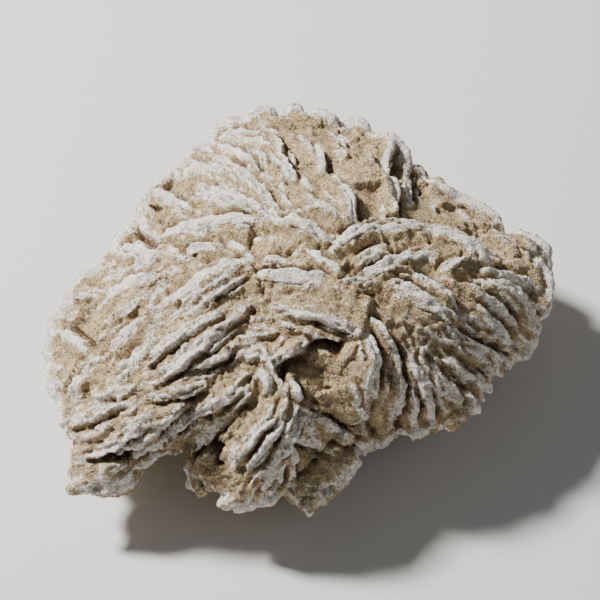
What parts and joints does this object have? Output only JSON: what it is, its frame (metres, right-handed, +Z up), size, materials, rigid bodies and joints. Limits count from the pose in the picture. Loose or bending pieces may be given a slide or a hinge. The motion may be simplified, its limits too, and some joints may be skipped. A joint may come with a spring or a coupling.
{
  "type": "gypsum sand rose",
  "caption": "Flattened rosette of sand-filled gypsum crystal blades, grown together in one piece, with a broken flat underside to rest on.",
  "frame": {"origin": "centre of the bounding box in X and Y, on the broken flat of the underside", "axes": "+X along the longest extent, to the right of the rosette's face, +Z up from the flat, -Y towards the lower edge of the face, which leans forward and up"},
  "size_m": [0.1018, 0.0898, 0.0423],
  "materials": {
    "sandy_gypsum": "matt sandy crystal: chalky white blade rims, tan sand between them, brown in the hollows, dark and glinting grains"
  },
  "bodies": {
    "root": {"sand_rose": "sandy_gypsum"}
  },
  "joints": []
}
